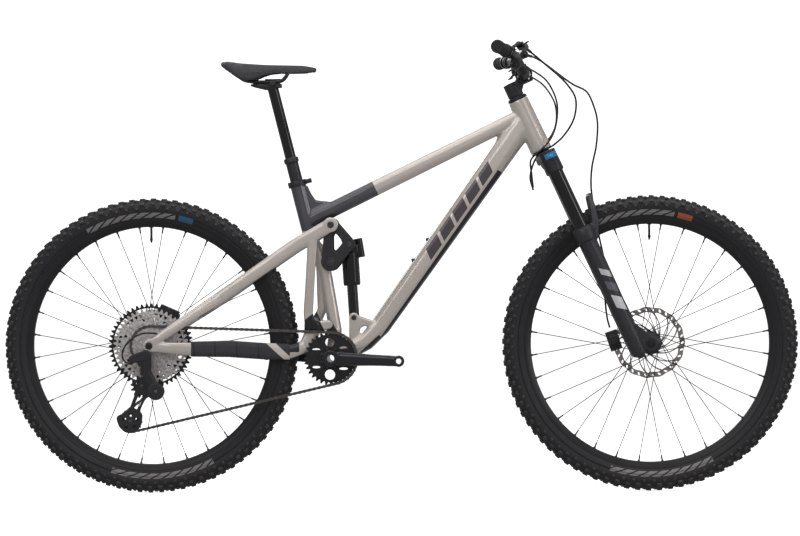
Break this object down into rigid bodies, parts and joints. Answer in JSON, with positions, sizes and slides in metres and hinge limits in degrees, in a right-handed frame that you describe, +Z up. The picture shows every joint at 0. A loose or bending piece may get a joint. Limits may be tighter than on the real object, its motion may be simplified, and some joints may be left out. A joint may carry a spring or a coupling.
{
  "type": "full-suspension mountain bike",
  "caption": "Full-suspension trail bike with a low-slung frame, linkage-driven rear shock, long-travel fork, disc brakes and a dropper seat post; the pedals are left off.",
  "frame": {"origin": "on the ground midway between the wheels, in the bike's middle plane", "axes": "+X forward, along the ride; +Y to the rider's left, away from the drive side; +Z up"},
  "size_m": [1.99, 0.7906, 1.1147],
  "materials": {
    "champagne": "satin two-tone paint",
    "black_metal": "satin black",
    "dark_alloy": "dark anodised",
    "tyre_rubber": "matt",
    "rubber": "matt",
    "plastic": "matt",
    "silver": "machined",
    "steel": "brushed",
    "slick_black": "glossy black coating",
    "saddle_cover": "matt synthetic leather"
  },
  "bodies": {
    "frame": {"main_frame": "champagne", "headset_upper_cup": "black_metal", "headset_lower_cup": "black_metal", "bottom_bracket": "black_metal", "seat_clamp": "black_metal", "dropper_outer_tube": "black_metal", "chain": "dark_alloy"},
    "post": {"dropper_inner_tube": "slick_black", "saddle_clamp": "black_metal", "saddle_rails": "steel", "saddle": "saddle_cover"},
    "steering": {"fork_upper": "black_metal", "stem": "black_metal", "handlebar": "black_metal", "grip_right": "rubber", "grip_left": "rubber", "brake_body_right": "black_metal", "brake_body_left": "black_metal", "shifter_body": "plastic", "dropper_remote_body": "plastic", "front_brake_hose": "plastic", "rear_brake_hose": "plastic", "shift_housing": "plastic", "dropper_housing": "plastic"},
    "lowers": {"fork_lowers": "black_metal", "front_axle": "black_metal", "front_caliper": "black_metal"},
    "front_wheel": {"front_tyre": "tyre_rubber", "front_rim": "black_metal", "front_hub": "black_metal", "front_spokes_right": "steel", "front_spokes_left": "steel", "front_rotor": "steel"},
    "stays": {"rear_triangle": "champagne", "chainstay_guard": "rubber", "rear_axle": "black_metal", "rear_caliper": "black_metal", "derailleur_body": "black_metal"},
    "rear_wheel": {"rear_tyre": "tyre_rubber", "rear_rim": "black_metal", "rear_hub": "black_metal", "rear_spokes_right": "steel", "rear_spokes_left": "steel", "rear_rotor": "steel"},
    "cogs": {"cassette": "silver"},
    "cage": {"derailleur_cage": "black_metal"},
    "guide_wheel": {"guide_pulley": "plastic"},
    "tension_wheel": {"tension_pulley": "plastic"},
    "rocker_arm": {"rocker": "black_metal"},
    "link": {"lower_link": "black_metal"},
    "shock_rod": {"shock_shaft": "slick_black"},
    "shock_body": {"shock_can": "slick_black"},
    "cranks": {"crank_right": "dark_alloy", "crank_left": "dark_alloy", "chainring": "black_metal"},
    "right_lever": {"brake_lever_right": "dark_alloy"},
    "left_lever": {"brake_lever_left": "dark_alloy"},
    "lower_shift_paddle": {"shift_paddle_lower": "plastic"},
    "upper_shift_paddle": {"shift_paddle_upper": "plastic"},
    "remote_paddle": {"dropper_paddle": "plastic"}
  },
  "joints": [
    {"name": "steering_turn", "type": "hinge", "parent": "frame", "child": "steering", "pos_m": [0.58496, 0, 0.35175], "axis": [-0.4147, 0, 0.91], "range_deg": [-60, 60], "deforming": ["rear_brake_hose", "shift_housing", "dropper_housing", "front_brake_hose"]},
    {"name": "fork_travel", "type": "slide", "parent": "steering", "child": "lowers", "axis": [-0.4147, 0, 0.91], "range_m": [0, 0.15], "stiffness_N_per_m": 5000, "springref_m": -0.01, "deforming": ["front_brake_hose"]},
    {"name": "front_wheel_spin", "type": "hinge", "parent": "lowers", "child": "front_wheel", "pos_m": [0.625, 0, 0.37], "axis": [0, 1, 0], "continuous": true},
    {"name": "rear_suspension", "type": "hinge", "parent": "frame", "child": "stays", "pos_m": [-0.24088, 0, 0.44958], "axis": [0, 1, 0], "range_deg": [0, 20.62], "stiffness_Nm_per_rad": 400, "springref_deg": -1.15, "deforming": ["chain"]},
    {"name": "rear_wheel_spin", "type": "hinge", "parent": "stays", "child": "rear_wheel", "pos_m": [-0.625, 0, 0.37], "axis": [0, 1, 0], "continuous": true},
    {"name": "crank_spin", "type": "hinge", "parent": "frame", "child": "cranks", "pos_m": [-0.17204, 0, 0.3365], "axis": [0, 1, 0], "continuous": true},
    {"name": "cassette_spin", "type": "hinge", "parent": "stays", "child": "cogs", "pos_m": [-0.625, 0, 0.37], "axis": [0, 1, 0], "continuous": true},
    {"name": "cage_swing", "type": "hinge", "parent": "stays", "child": "cage", "pos_m": [-0.608, -0.048, 0.257], "axis": [0, 1, 0], "range_deg": [-45, 0], "stiffness_Nm_per_rad": 3, "springref_deg": 5.73, "deforming": ["chain"]},
    {"name": "guide_pulley_spin", "type": "hinge", "parent": "cage", "child": "guide_wheel", "pos_m": [-0.6457, -0.048, 0.2687], "axis": [0, 1, 0], "continuous": true},
    {"name": "tension_pulley_spin", "type": "hinge", "parent": "cage", "child": "tension_wheel", "pos_m": [-0.675, -0.048, 0.181], "axis": [0, 1, 0], "continuous": true},
    {"name": "rocker_turn", "type": "hinge", "parent": "frame", "child": "rocker_arm", "pos_m": [-0.17324, 0, 0.5779], "axis": [0, 1, 0], "range_deg": [0, 53.36]},
    {"name": "lower_link_turn", "type": "hinge", "parent": "frame", "child": "link", "pos_m": [-0.16504, 0, 0.394], "axis": [0, 1, 0], "range_deg": [-47.58, 0]},
    {"name": "shock_swing", "type": "hinge", "parent": "frame", "child": "shock_rod", "pos_m": [-0.11564, 0, 0.4375], "axis": [0, 1, 0], "range_deg": [0, 5.5]},
    {"name": "shock_stroke", "type": "slide", "parent": "shock_rod", "child": "shock_body", "axis": [0.0594, 0, -0.9982], "range_m": [0, 0.05501]},
    {"name": "dropper_drop", "type": "slide", "parent": "frame", "child": "post", "axis": [-0.2419, 0, 0.9703], "range_m": [-0.15, 0], "stiffness_N_per_m": 1000, "springref_m": 0.05},
    {"name": "right_lever_pull", "type": "hinge", "parent": "steering", "child": "right_lever", "pos_m": [0.30651, -0.226, 1.1024], "axis": [0.4147, 0, -0.91], "range_deg": [0, 16], "stiffness_Nm_per_rad": 1, "springref_deg": -5.73},
    {"name": "left_lever_pull", "type": "hinge", "parent": "steering", "child": "left_lever", "pos_m": [0.30651, 0.226, 1.1024], "axis": [-0.4147, 0, 0.91], "range_deg": [0, 16], "stiffness_Nm_per_rad": 1, "springref_deg": -5.73},
    {"name": "lower_shift_push", "type": "hinge", "parent": "steering", "child": "lower_shift_paddle", "pos_m": [0.29078, -0.2205, 1.05184], "axis": [-0.4147, 0, 0.91], "range_deg": [0, 18], "stiffness_Nm_per_rad": 1, "springref_deg": -5.73},
    {"name": "upper_shift_push", "type": "hinge", "parent": "steering", "child": "upper_shift_paddle", "pos_m": [0.28656, -0.2215, 1.0632], "axis": [-0.4147, 0, 0.91], "range_deg": [0, 18], "stiffness_Nm_per_rad": 1, "springref_deg": -5.73},
    {"name": "remote_push", "type": "hinge", "parent": "steering", "child": "remote_paddle", "pos_m": [0.2887, 0.2205, 1.05638], "axis": [0.4147, 0, -0.91], "range_deg": [0, 18], "stiffness_Nm_per_rad": 1, "springref_deg": -5.73}
  ],
  "couplings": [
    {"joint": "cassette_spin", "follows": "crank_spin", "ratio": 1.3333},
    {"joint": "guide_pulley_spin", "follows": "crank_spin", "ratio": -2.4615},
    {"joint": "tension_pulley_spin", "follows": "crank_spin", "ratio": 2.4615},
    {"joint": "rocker_turn", "follows": "rear_suspension", "ratio": 2.5878},
    {"joint": "lower_link_turn", "follows": "rear_suspension", "ratio": -2.3074},
    {"joint": "shock_swing", "follows": "rear_suspension", "ratio": 0.26651},
    {"joint": "shock_stroke", "follows": "rear_suspension", "m_per_rad": 0.15285}
  ]
}
